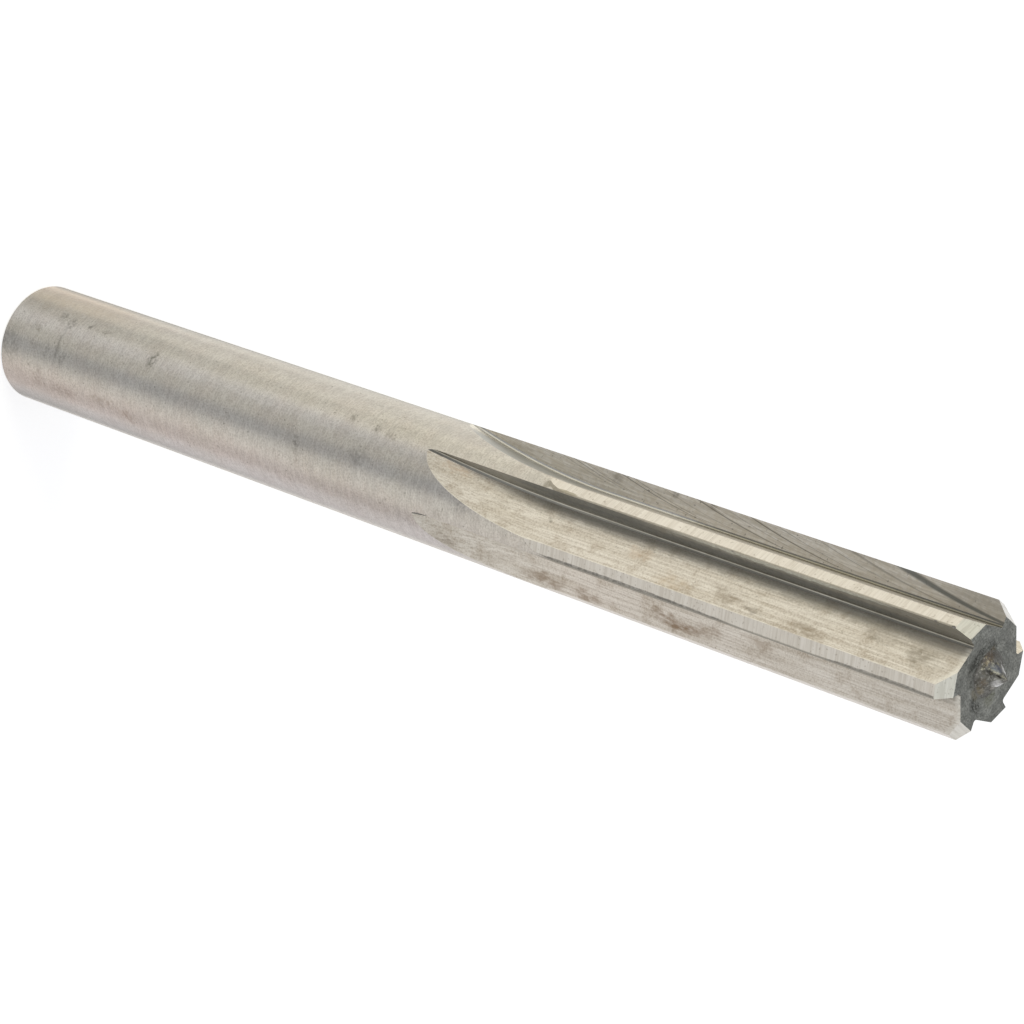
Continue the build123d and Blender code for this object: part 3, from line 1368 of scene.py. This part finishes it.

# The rake faces, ground by the wheel's side: its grains leave long arcs, and its burn leaves brown tints.
# The blue-grey on one rake face is painted shade
GROUND_RAKE = GroundSteel(
    name="side_ground_tool_steel",
    colour="#fffaef",
    roughness=0.36,
    ragged=0.25,
    marks=(
        Mark(Lay.WHEEL_ARC, 1.3, 0.9, "#ddd3bf", 0.4, detail=3.0),
        Mark(Lay.WHEEL_ARC, 0.35, 0.8, "#fffaf0", 0.35, threshold=0.55),
        Mark(Lay.WHEEL_ARC, 0.12, 0.9, "#cdc6b4", 0.42, threshold=0.54, depth=0.001),
        Mark(Lay.WHEEL_ARC, 0.7, 1.4, "#ddd2bd", 0.32, threshold=0.55, detail=4.0),
        Mark(Lay.NONE, 0.4, 0.4, "#d3c8b0", 0.4, threshold=0.52, detail=5.0),
        Mark(Lay.ALONG, 0.3, 5.0, "#dfd6c4", 0.2),
        Mark(Lay.ALONG, 0.12, 6.0, "#bdb5a4", 0.35),
        Mark(Lay.NONE, 0.3, 0.3, "#6a6154", 0.55, threshold=0.69, softness=0.06, detail=3.0),
    ),
    stains=(
        # Painted shade: blue-grey darkening over one tooth's rake face, less of it near the nose
        Stain((4.0, 0.0, 76.0), (2.6, 1.4, 60.0), "#a2a9ab", 0.42, rim=0.9, broken=0.1),
        Stain((3.5, 0.0, 73.0), (0.8, 0.6, 22.0), "#868b8d", 0.55, rim=0.7, broken=0.3),
        Stain((4.4, 0.0, 61.0), (0.7, 0.6, 8.0), "#868b8d", 0.55, rim=0.6, broken=0.3),
        Stain((4.0, 0.0, 92.5), (1.6, 0.8, 4.8), "#c9c5bb", 0.45, broken=0.3),
        Stain((4.64, 0.0, 78.5), (0.27, 0.5, 10.5), "#fbfbee", 0.95, rim=0.75, broken=0.45, roughness=0.7),
        Stain((2.0, -3.5, 92.5), (1.6, 2.2, 5.0), "#b5ae9f", 0.55, broken=0.3),
        Stain((2.2, -3.8, 60.4), (0.6, 0.8, 0.8), "#857c6c", 0.5, rim=0.1, broken=0.6),
        Stain((2.3, -4.0, 65.7), (0.4, 0.5, 0.45), "#7b7263", 0.6, rim=0.1, broken=0.6),
        Stain((2.3, -4.0, 69.1), (0.4, 0.5, 0.45), "#7f7667", 0.55, rim=0.1, broken=0.6),
    ),
    scratches=(
        ArcScratch(75.0, 0.22, (2.1, -3.62), 1.0, "#7a7264", 0.7),
        ArcScratch(76.0, 0.16, (2.1, -3.62), 0.9, "#857d6f", 0.6),
        ArcScratch(69.3, 0.1, (2.2, -3.8), 0.8, "#8a8272", 0.55),
        ArcScratch(70.4, 0.16, (2.2, -3.8), 0.8, "#857d6f", 0.6),
        ArcScratch(71.3, 0.12, (2.2, -3.8), 0.9, "#857d6f", 0.6),
        ArcScratch(72.1, 0.12, (2.2, -3.8), 0.9, "#fffaf0", 0.5),
        ArcScratch(78.6, 0.12, (2.05, -3.55), 0.9, "#8a8272", 0.45),
        ArcScratch(79.1, 0.1, (2.05, -3.55), 0.9, "#fffaf0", 0.4),
        ArcScratch(84.4, 0.12, (2.05, -3.55), 0.7, "#857d6f", 0.5),
        ArcScratch(88.9, 0.16, (2.05, -3.55), 0.8, "#857d6f", 0.5),
        ArcScratch(90.6, 0.3, (2.05, -3.55), 0.9, "#fdf6e8", 0.4),
        ArcScratch(92.3, 0.2, (2.05, -3.55), 0.8, "#857d6f", 0.45),
        ArcScratch(81.9, 0.3, (2.05, -3.55), 1.0, "#7b7365", 0.7),
        ArcScratch(82.7, 0.16, (2.05, -3.55), 0.9, "#fffaf0", 0.75),
        ArcScratch(86.6, 0.26, (2.05, -3.55), 0.9, "#706858", 0.8),
        ArcScratch(87.3, 0.12, (2.05, -3.55), 0.9, "#fffaf0", 0.6),
        ArcScratch(95.2, 0.5, (2.1, -3.6), 1.4, "#938b7c", 0.5),
        ArcScratch(99.7, 1.3, (1.95, -3.4), 2.0, "#6c6f6a", 0.8),
    ),
)

# The relieved lands, ground by a cup wheel across the tool: fine bright and dark lines across the land
GROUND_LAND = GroundSteel(
    name="cross_ground_tool_steel",
    colour="#e2ded6",
    roughness=0.33,
    ragged=0.07,
    stains=(
        # Painted shade: a dark line along one tooth's cutting edge
        Stain((2.38, 4.12, 66.0), (0.34, 0.34, 12.5), "#5f5e5a", 0.8, rim=0.8, broken=0.4),
        Stain((2.38, 4.12, 89.0), (0.3, 0.3, 6.5), "#5f5e5a", 0.75, rim=0.8, broken=0.4),
        Stain((4.7, -0.1, 59.5), (0.2, 0.25, 1.3), "#99937f", 0.8, rim=0.7, broken=0.2),
    ),
    marks=(
        Mark(Lay.ROUND, 0.09, 2.0, "#cdc7bd", 0.55, detail=1.0, depth=0.0005),
        Mark(Lay.ROUND, 0.26, 4.0, "#fbf8f2", 0.32, detail=3.0),
        Mark(Lay.ROUND, 1.4, 6.0, "#d8d2c7", 0.25, detail=3.0),
        Mark(Lay.NONE, 0.22, 0.22, "#8b8171", 0.4, threshold=0.66, softness=0.08, detail=3.0),
    ),
    # Painted shade: a dark line on the land next to each cutting edge, towards the nose
    strips=(Strip(-0.1, 0.15, (58.0, 60.5), "#8a897e", 0.45, blur=0.04),),
)

# The bevels that do the cutting, ground last and brightest, with the same lines
GROUND_BEVEL = GroundSteel(
    name="bevel_ground_tool_steel",
    colour="#e6e3db",
    roughness=0.33,
    marks=(
        Mark(Lay.ROUND, 0.08, 2.0, "#ccc8bf", 0.5, detail=1.0, depth=0.0005),
        Mark(Lay.ROUND, 0.24, 3.0, "#f9f7f1", 0.35),
        Mark(Lay.NONE, 0.25, 0.25, "#8d8679", 0.35, threshold=0.66, softness=0.08, detail=3.0),
    ),
)

# The nose's face, left dark and matt by the heat treatment, with scratches and dried oil round the centre
NOSE_STEEL = GroundSteel(
    name="heat_darkened_tool_steel",
    colour="#bfc0b8",
    roughness=0.42,
    ragged=0.25,
    ragged_width=0.4,
    speckle=(0.13, 0.13),
    marks=(
        Mark(Lay.NONE, 0.8, 0.8, "#8f908a", 0.6, detail=4.0, depth=0.004),
        Mark(Lay.NONE, 0.14, 0.14, "#70716b", 0.65, threshold=0.54, detail=3.0, depth=0.005),
        Mark(Lay.NONE, 0.14, 0.14, "#d0d0c9", 0.35, threshold=0.6, softness=0.1, detail=2.0),
        Mark(Lay.TURNED, 0.12, 1.5, "#80817b", 0.4),
    ),
    stains=(
        Stain((1.95, 0.1, 93.75), (0.55, 1.7, 0.6), "#474843", 0.75, rim=0.5),
        Stain((1.3, -1.3, 93.75), (0.7, 0.6, 0.6), "#4c4d48", 0.7, rim=0.5),
        Stain((1.0, -1.25, 93.8), (0.5, 0.5, 0.4), "#7f6e50", 0.6, broken=0.6),
        Stain((0.0, 1.75, 93.8), (0.8, 0.5, 0.5), "#8f8468", 0.6, broken=0.6),
        Stain((-1.6, 0.8, 93.8), (0.9, 0.9, 0.6), "#8f8f72", 0.5, broken=0.6),
        Stain((-0.7, 2.15, 93.8), (1.0, 0.7, 0.6), "#33342f", 0.85),
    ),
)

# The male centre, rough turned and knocked about in use, with brown patches, painted shade round its foot,
# and painted shade and highlights on its sides by the way they face
CENTRE_STEEL = GroundSteel(
    name="rough_turned_tool_steel",
    colour="#989690",
    roughness=0.36,
    marks=(
        Mark(Lay.TURNED, 0.12, 0.9, "#7d7b74", 0.55, detail=3.0, depth=0.003),
        Mark(Lay.NONE, 0.25, 0.25, "#5d594f", 0.55, threshold=0.55, detail=4.0, depth=0.008),
        Mark(Lay.NONE, 0.16, 0.16, "#e2dfd7", 0.4, threshold=0.62, softness=0.1),
    ),
    ragged=0.13,
    ragged_width=0.24,
    speckle=(0.13, 0.13),
    least_speckle=0.2,
    stains=(
        # Painted shade round the centre's foot
        Stain((0.0, 0.0, 93.75), (1.9, 1.9, 0.35), "#5e5a50", 0.5),
        Stain((1.2, -0.6, 93.9), (0.6, 0.95, 0.42), "#78695a", 0.8, rim=0.3, broken=0.6),
        Stain((0.62, -0.22, 94.5), (0.5, 0.36, 0.6), "#7b7f8b", 0.85, rim=0.4, broken=0.4),
        Stain((0.75, -0.08, 94.4), (0.55, 0.16, 0.7), "#6f7480", 0.7, rim=0.3, broken=0.5),
        # Painted shade on the side of the cone that faces +X
        Stain((0.8, 0.27, 94.32), (0.42, 0.2, 0.5), "#33302b", 0.85, rim=0.4, broken=0.35),
        Stain((0.44, 0.13, 94.78), (0.26, 0.11, 0.36), "#33302b", 0.85, rim=0.4, broken=0.3),
        Stain((0.5, 0.95, 94.1), (0.5, 0.36, 0.36), "#857765", 0.8, rim=0.3, broken=0.6),
        Stain((0.0, 1.35, 93.9), (0.8, 0.4, 0.3), "#a09478", 0.65, rim=0.3, broken=0.6),
        # Painted highlights on the side of the cone that faces +Y, and a thin one on the side that faces -Y
        Stain((0.06, 0.5, 94.75), (0.42, 0.4, 0.6), "#f4f2ee", 0.8, rim=0.4, broken=0.4),
        Stain((-0.18, 0.42, 94.7), (0.16, 0.4, 0.6), "#ffffff", 0.85, rim=0.4, broken=0.2),
        Stain((0.2, -0.5, 94.5), (0.24, 0.4, 0.8), "#f4f3ee", 0.85, rim=0.4, broken=0.35),
    ),
)

# The shank's end, faced in the lathe: faint rings
FACED_STEEL = GroundSteel(
    name="faced_tool_steel",
    colour="#cbc6bc",
    roughness=0.36,
    marks=(
        Mark(Lay.TURNED, 0.12, 9.0, "#9b968b", 0.5, depth=0.003),
        Mark(Lay.NONE, 1.4, 1.4, "#a49a8a", 0.4, threshold=0.55, detail=4.0),
        Mark(Lay.NONE, 0.25, 0.25, "#7d776b", 0.4, threshold=0.66, softness=0.08, detail=3.0),
    ),
)

# The centre hole, drilled and left as it came: darker rings and oil
DRILLED_STEEL = GroundSteel(
    name="drilled_tool_steel",
    colour="#a8a297",
    roughness=0.38,
    marks=(
        Mark(Lay.NONE, 0.5, 0.5, "#6f695e", 0.5, threshold=0.55, detail=4.0),
        Mark(Lay.ROUND, 0.1, 6.0, "#77726a", 0.5, depth=0.003),
    ),
)

# The broken metal in the chips: grainy and dark
CHIPPED_STEEL = GroundSteel(
    name="chipped_tool_steel",
    colour="#b9b5ac",
    roughness=0.5,
    marks=(
        Mark(Lay.NONE, 0.08, 0.08, "#6f6b63", 0.6, detail=3.0, depth=0.01),
        Mark(Lay.NONE, 0.05, 0.05, "#e4e1da", 0.5, threshold=0.6, softness=0.1),
    ),
)

FINISHES: dict[Region, GroundSteel] = {
    Region.ROUND: GROUND_ROUND,
    Region.RAKE_FACE: GROUND_RAKE,
    Region.FLUTE_ROOT: GROUND_ROOT,
    Region.FLUTE_FLOOR: GROUND_FLOOR,
    Region.LAND: GROUND_LAND,
    Region.BEVEL: GROUND_BEVEL,
    Region.NOSE_FACE: NOSE_STEEL,
    Region.MALE_CENTRE: CENTRE_STEEL,
    Region.SHANK_END: FACED_STEEL,
    Region.CENTRE_HOLE: DRILLED_STEEL,
    Region.CHIP: CHIPPED_STEEL,
}


@dataclass(frozen=True)
class Camera:
    """The camera, at the photograph's viewing angle. Lengths are in millimetres and angles in degrees."""

    aim: tuple[float, float, float] = (-2.1707, -0.6175, 50.3825)
    distance: float = 243.8124
    azimuth: float = 115.4642
    elevation: float = 38.6511
    roll: float = 109.4279
    lens: float = 117.1364
    sensor: float = 36.0

    def build(self) -> bpy.types.Object:
        """Makes the camera and makes it the scene's own.

        Returns:
            The camera.
        """
        data = bpy.data.cameras.new("camera")
        data.lens = self.lens
        data.sensor_width = self.sensor
        camera = bpy.data.objects.new("camera", data)
        around, above = radians(self.azimuth), radians(self.elevation)
        back = Vector((sin(around) * cos(above), -cos(around) * cos(above), sin(above)))
        level = (-back).to_track_quat("-Z", "Y")
        camera.rotation_mode = "QUATERNION"
        camera.rotation_quaternion = level @ Quaternion((0, 0, 1), radians(self.roll))
        camera.location = (Vector(self.aim) + back * self.distance) * METRES_PER_MM
        bpy.context.scene.collection.objects.link(camera)
        bpy.context.scene.camera = camera
        return camera


@dataclass(frozen=True)
class SoftLight:
    """A round soft box that faces the tool. Lengths are in metres, and angles in degrees.

    The azimuth is counted round from +X, and the elevation up from level. The strength is the brightness of
    the box's face, against 1 for white.
    """

    azimuth: float
    elevation: float
    strength: float
    colour: str
    diameter: float = 0.56
    distance: float = 0.8
    aim_height: float = 0.05

    def build(self, name: str) -> bpy.types.Object:
        """Makes the light.

        Args:
            name: The light's name.

        Returns:
            The light.
        """
        data = bpy.data.lights.new(name, "AREA")
        data.shape = "DISK"
        data.size = self.diameter
        # A face of brightness 1 gives off pi watts from each square metre
        data.energy = self.strength * pi * pi * (self.diameter / 2) ** 2
        data.color = linear(self.colour)[:3]
        around, above = radians(self.azimuth), radians(self.elevation)
        out = Vector((cos(around) * cos(above), sin(around) * cos(above), sin(above)))
        light = bpy.data.objects.new(name, data)
        light.location = Vector((0, 0, self.aim_height)) + out * self.distance
        light.rotation_mode = "QUATERNION"
        light.rotation_quaternion = out.to_track_quat("Z", "Y")
        bpy.context.scene.collection.objects.link(light)
        return light


@dataclass(frozen=True)
class Studio:
    """A light tent: a lit white floor that rises to a wall all round, and soft boxes outside it.

    The steel doesn't mirror the floor, so that the soft boxes below it light the tool's sides. Lengths are
    in metres.
    """

    lights: tuple[SoftLight, ...] = (
        SoftLight(-36, -27, 0.5, "#fff3d0"),
        SoftLight(74, -32, 0.37, "#fff8e8"),
        SoftLight(-72, -32, 0.48, "#fff6e0"),
        SoftLight(108, -58, 0.3, "#ffdcd0"),
        SoftLight(144, -32, 0.365, "#fff2f6"),
        SoftLight(-112, -30, 0.51, "#fff8e6"),
        SoftLight(-150, -38, 0.5, "#f4f4e8", diameter=0.3),
        SoftLight(-36, 32, 1.6, "#fffddd"),
        SoftLight(-14, -46, 0.4, "#fff9f4", diameter=0.3),
        SoftLight(14, -46, 0.24, "#fff2cf", diameter=0.3),
        SoftLight(-108, -58, 0.66, "#ffecdc", diameter=0.3),
        SoftLight(72, 58, 0.69, "#fbfff2", diameter=0.3),
        SoftLight(162, 9, 0.54, "#fffcf6", diameter=0.3),
        SoftLight(-137, -12, 0.82, "#ffffff", diameter=0.3),
        SoftLight(-168, -32, 0.55, "#fff8f2"),
    )
    fill: float = 0.46
    fill_colour: str = "#fbfcff"
    floor_radius: float = 1.6
    floor_sides: int = 96
    floor_drop: float = 0.00002
    floor_colour: str = "#f7f7f8"
    floor_glow: float = 0.62
    wall_curve: float = 0.8
    wall_steps: int = 12

    def make_acrylic(self) -> bpy.types.Material:
        """Makes the floor's finish: white acrylic, frosted and lit from behind, so that it is even and matt.

        Returns:
            The material.
        """
        material = bpy.data.materials.new("backlit_white_acrylic")
        material.use_nodes = True
        shader = material.node_tree.nodes["Principled BSDF"].inputs
        shader["Base Color"].default_value = linear(self.floor_colour)
        shader["Roughness"].default_value = 1.0
        shader["Specular IOR Level"].default_value = 0.0
        shader["Emission Color"].default_value = linear(self.floor_colour)
        shader["Emission Strength"].default_value = self.floor_glow
        return material

    def build_floor(self) -> bpy.types.Object:
        """Makes the floor and the wall as one sheet.

        Returns:
            The sheet.
        """
        work = bmesh.new()
        around = spread(0.0, 2 * pi, self.floor_sides)[:-1]
        rings = [[work.verts.new((0, 0, -self.floor_drop))] * len(around)]
        for turn in spread(0.0, pi / 2, self.wall_steps):
            radius = self.floor_radius + self.wall_curve * sin(turn)
            height = self.wall_curve * (1 - cos(turn)) - self.floor_drop
            rings.append([work.verts.new((radius * cos(a), radius * sin(a), height)) for a in around])
        for inner, outer in zip(rings, rings[1:]):
            for i in range(len(around)):
                j = (i + 1) % len(around)
                corners = dict.fromkeys((inner[i], outer[i], outer[j], inner[j]))
                work.faces.new(list(corners)).smooth = True
        mesh = bpy.data.meshes.new("floor")
        work.to_mesh(mesh)
        work.free()
        mesh.materials.append(self.make_acrylic())
        floor = bpy.data.objects.new("floor", mesh)
        floor.visible_glossy = False
        floor.visible_diffuse = False
        floor.visible_shadow = False
        bpy.context.scene.collection.objects.link(floor)
        return floor

    def build(self) -> None:
        """Makes the floor, the soft boxes and the even light of the tent."""
        self.build_floor()
        for number, light in enumerate(self.lights):
            light.build(f"soft_box_{number}")
        world = bpy.data.worlds.new("studio")
        world.use_nodes = True
        background = world.node_tree.nodes["Background"].inputs
        background["Color"].default_value = linear(self.fill_colour)
        background["Strength"].default_value = self.fill
        bpy.context.scene.world = world
        bpy.context.scene.view_settings.view_transform = "Standard"


@dataclass(frozen=True)
class Chip:
    """A small chip out of a cutting edge. Its tooth's angle is in degrees, and its sizes in millimetres."""

    tooth_angle: float
    height: float
    size: float
    stretch: float = 1.5


@dataclass(frozen=True)
class Wear:
    """What use and handling did to the tool's form: chips in its edges, and battered metal at its centre.

    Lengths are in millimetres. The battering is given by the distances from the axis where it starts, is
    full, fades and ends, and by the roughness, the lacunarity and the octaves of its noise.
    """

    chips: tuple[Chip, ...] = (
        Chip(0, 92.7, 0.13, 1.3),
        Chip(0, 91.3, 0.09),
        Chip(0, 74.6, 0.07, 2.0),
        Chip(-60, 61.3, 0.07, 2.0),
        Chip(-60, 83.0, 0.07, 2.0),
        Chip(60, 79.4, 0.06, 2.0),
        Chip(120, 66.2, 0.08),
        Chip(120, 88.9, 0.07, 2.0),
        Chip(180, 78.0, 0.09),
        Chip(-120, 70.5, 0.07, 2.0),
        Chip(-120, 92.3, 0.12),
    )
    cutting_radius: float = 4.76
    raggedness: float = 0.35
    ragged_scale: float = 1.4
    seed_step: float = 7.1
    nose_height: float = 93.75
    battered: tuple[float, float, float, float] = (0.1, 0.9, 1.9, 2.5)
    battered_depth: float = 0.07
    battered_width: float = 0.3
    battered_level: float = 0.5
    battered_noise: tuple[float, float, int] = (0.8, 2.1, 3)

    def make_cutters(self) -> bpy.types.Mesh:
        """Makes one ragged lump for each chip.

        Returns:
            The lumps, as one mesh.
        """
        work = bmesh.new()
        for number, chip in enumerate(self.chips):
            turn = radians(chip.tooth_angle)
            place = Vector((self.cutting_radius * cos(turn), self.cutting_radius * sin(turn), chip.height))
            shift = Vector((self.seed_step * number, 0, 0))
            for vertex in bmesh.ops.create_icosphere(work, subdivisions=2, radius=1.0)["verts"]:
                swell = 1 + self.raggedness * noise.noise(vertex.co * self.ragged_scale + shift)
                stretched = Vector((vertex.co.x, vertex.co.y, vertex.co.z * chip.stretch))
                vertex.co = (place + stretched * chip.size * swell) * METRES_PER_MM
        mesh = bpy.data.meshes.new("chips")
        work.to_mesh(mesh)
        work.free()
        return mesh

    def chip_edges(self, mesh: bpy.types.Mesh, material: bpy.types.Material) -> bpy.types.Mesh:
        """Takes the chips out of the tool.

        Args:
            mesh: The tool.
            material: The finish of the broken metal.

        Returns:
            The chipped tool as a plain mesh.
        """
        cutters = self.make_cutters()
        cutters.materials.append(material)
        tool, lumps = (bpy.data.objects.new(data.name, data) for data in (mesh, cutters))
        for item in (tool, lumps):
            bpy.context.scene.collection.objects.link(item)
        cut = tool.modifiers.new("chips", "BOOLEAN")
        cut.operation = "DIFFERENCE"
        cut.solver = "EXACT"
        cut.material_mode = "TRANSFER"
        cut.object = lumps
        bpy.context.view_layer.update()
        chipped = bpy.data.meshes.new_from_object(tool.evaluated_get(bpy.context.evaluated_depsgraph_get()))
        for item in (tool, lumps):
            bpy.data.objects.remove(item)
        slot = chipped.materials.find(material.name)
        for polygon, region in zip(chipped.polygons, chipped.attributes["region"].data):
            if polygon.material_index == slot:
                region.value = int(Region.CHIP)
        return chipped

    def batter(self, mesh: bpy.types.Mesh) -> None:
        """Sinks the metal round the male centre unevenly, never out past its ground form.

        Args:
            mesh: The tool.
        """
        start, full, fading, end = self.battered
        for vertex in mesh.vertices:
            place = vertex.co / METRES_PER_MM
            away = hypot(place.x, place.y)
            if place.z < self.nose_height - WELD_MM or not start < away < end:
                continue
            share = min(1.0, (away - start) / (full - start), (end - away) / (end - fading))
            rough = noise.fractal(place / self.battered_width, *self.battered_noise)
            sink = self.battered_depth * share * min(1.0, max(0.0, self.battered_level + rough))
            vertex.co -= vertex.normal * sink * METRES_PER_MM


@dataclass(frozen=True)
class Reamer:
    """The whole tool, in one piece.

    Edges folded by more than the sharp angle, in degrees, stay sharp. Edges shorter than the least edge, in
    millimetres, are taken out.
    """

    sector: ToothSector = field(default_factory=ToothSector)
    ring: ToothRing = field(default_factory=ToothRing)
    wear: Wear = field(default_factory=Wear)
    sharp_angle: float = 28.0
    least_edge: float = 0.0002

    def build(self) -> bpy.types.Object:
        """Builds and dresses the tool.

        Returns:
            The tool's object, which stands for the CAD node.
        """
        materials = {region: FinishTree(finish).build() for region, finish in FINISHES.items()}
        mesh = self.ring.close(self.sector.build(), materials)
        self.wear.batter(mesh)
        mesh = self.wear.chip_edges(mesh, materials[Region.CHIP])
        self.mark_edges(mesh)
        piece = bpy.data.objects.new("reamer_ground", mesh)
        bpy.context.scene.collection.objects.link(piece)
        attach(piece, "root")
        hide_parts("reamer")
        return piece

    def mark_edges(self, mesh: bpy.types.Mesh) -> None:
        """Takes out empty faces, turns the rest outwards and smooths them, and marks the ground edges.

        A ground edge stays sharp, and its points get 1 in the edge mask, which a finish reads for a painted
        highlight.

        Args:
            mesh: The tool.
        """
        work = bmesh.new()
        work.from_mesh(mesh)
        bmesh.ops.dissolve_degenerate(work, dist=self.least_edge * METRES_PER_MM, edges=work.edges)
        bmesh.ops.recalc_face_normals(work, faces=work.faces)
        region = work.faces.layers.int["region"]
        for face in work.faces:
            face.smooth = True
        ground_edges = set()
        for edge in work.edges:
            if len(edge.link_faces) == 2:
                a, b = edge.link_faces
                folded = edge.calc_face_angle() > radians(self.sharp_angle)
                edge.smooth = a[region] == b[region] and not folded
                if folded:
                    ground_edges.add(edge)
        # The edge mask feeds only the painted highlight along the ground edges
        wear = work.verts.layers.float.new("edge_highlight_mask")
        for vertex in work.verts:
            vertex[wear] = float(any(edge in ground_edges for edge in vertex.link_edges))
        open_edges = sum(not edge.is_manifold for edge in work.edges)
        log.info("open edges %d, volume %.0f mm3", open_edges, work.calc_volume() / METRES_PER_MM**3)
        work.to_mesh(mesh)
        work.free()


def main() -> None:
    """Builds the camera, the tool and the studio."""
    logging.basicConfig(level=logging.INFO, format="%(message)s")
    Camera().build()
    piece = Reamer().build()
    triangles = sum(len(polygon.vertices) - 2 for polygon in piece.data.polygons)
    log.info("%s: %d triangles", piece.name, triangles)
    Studio().build()


if __name__ == "__main__":
    main()
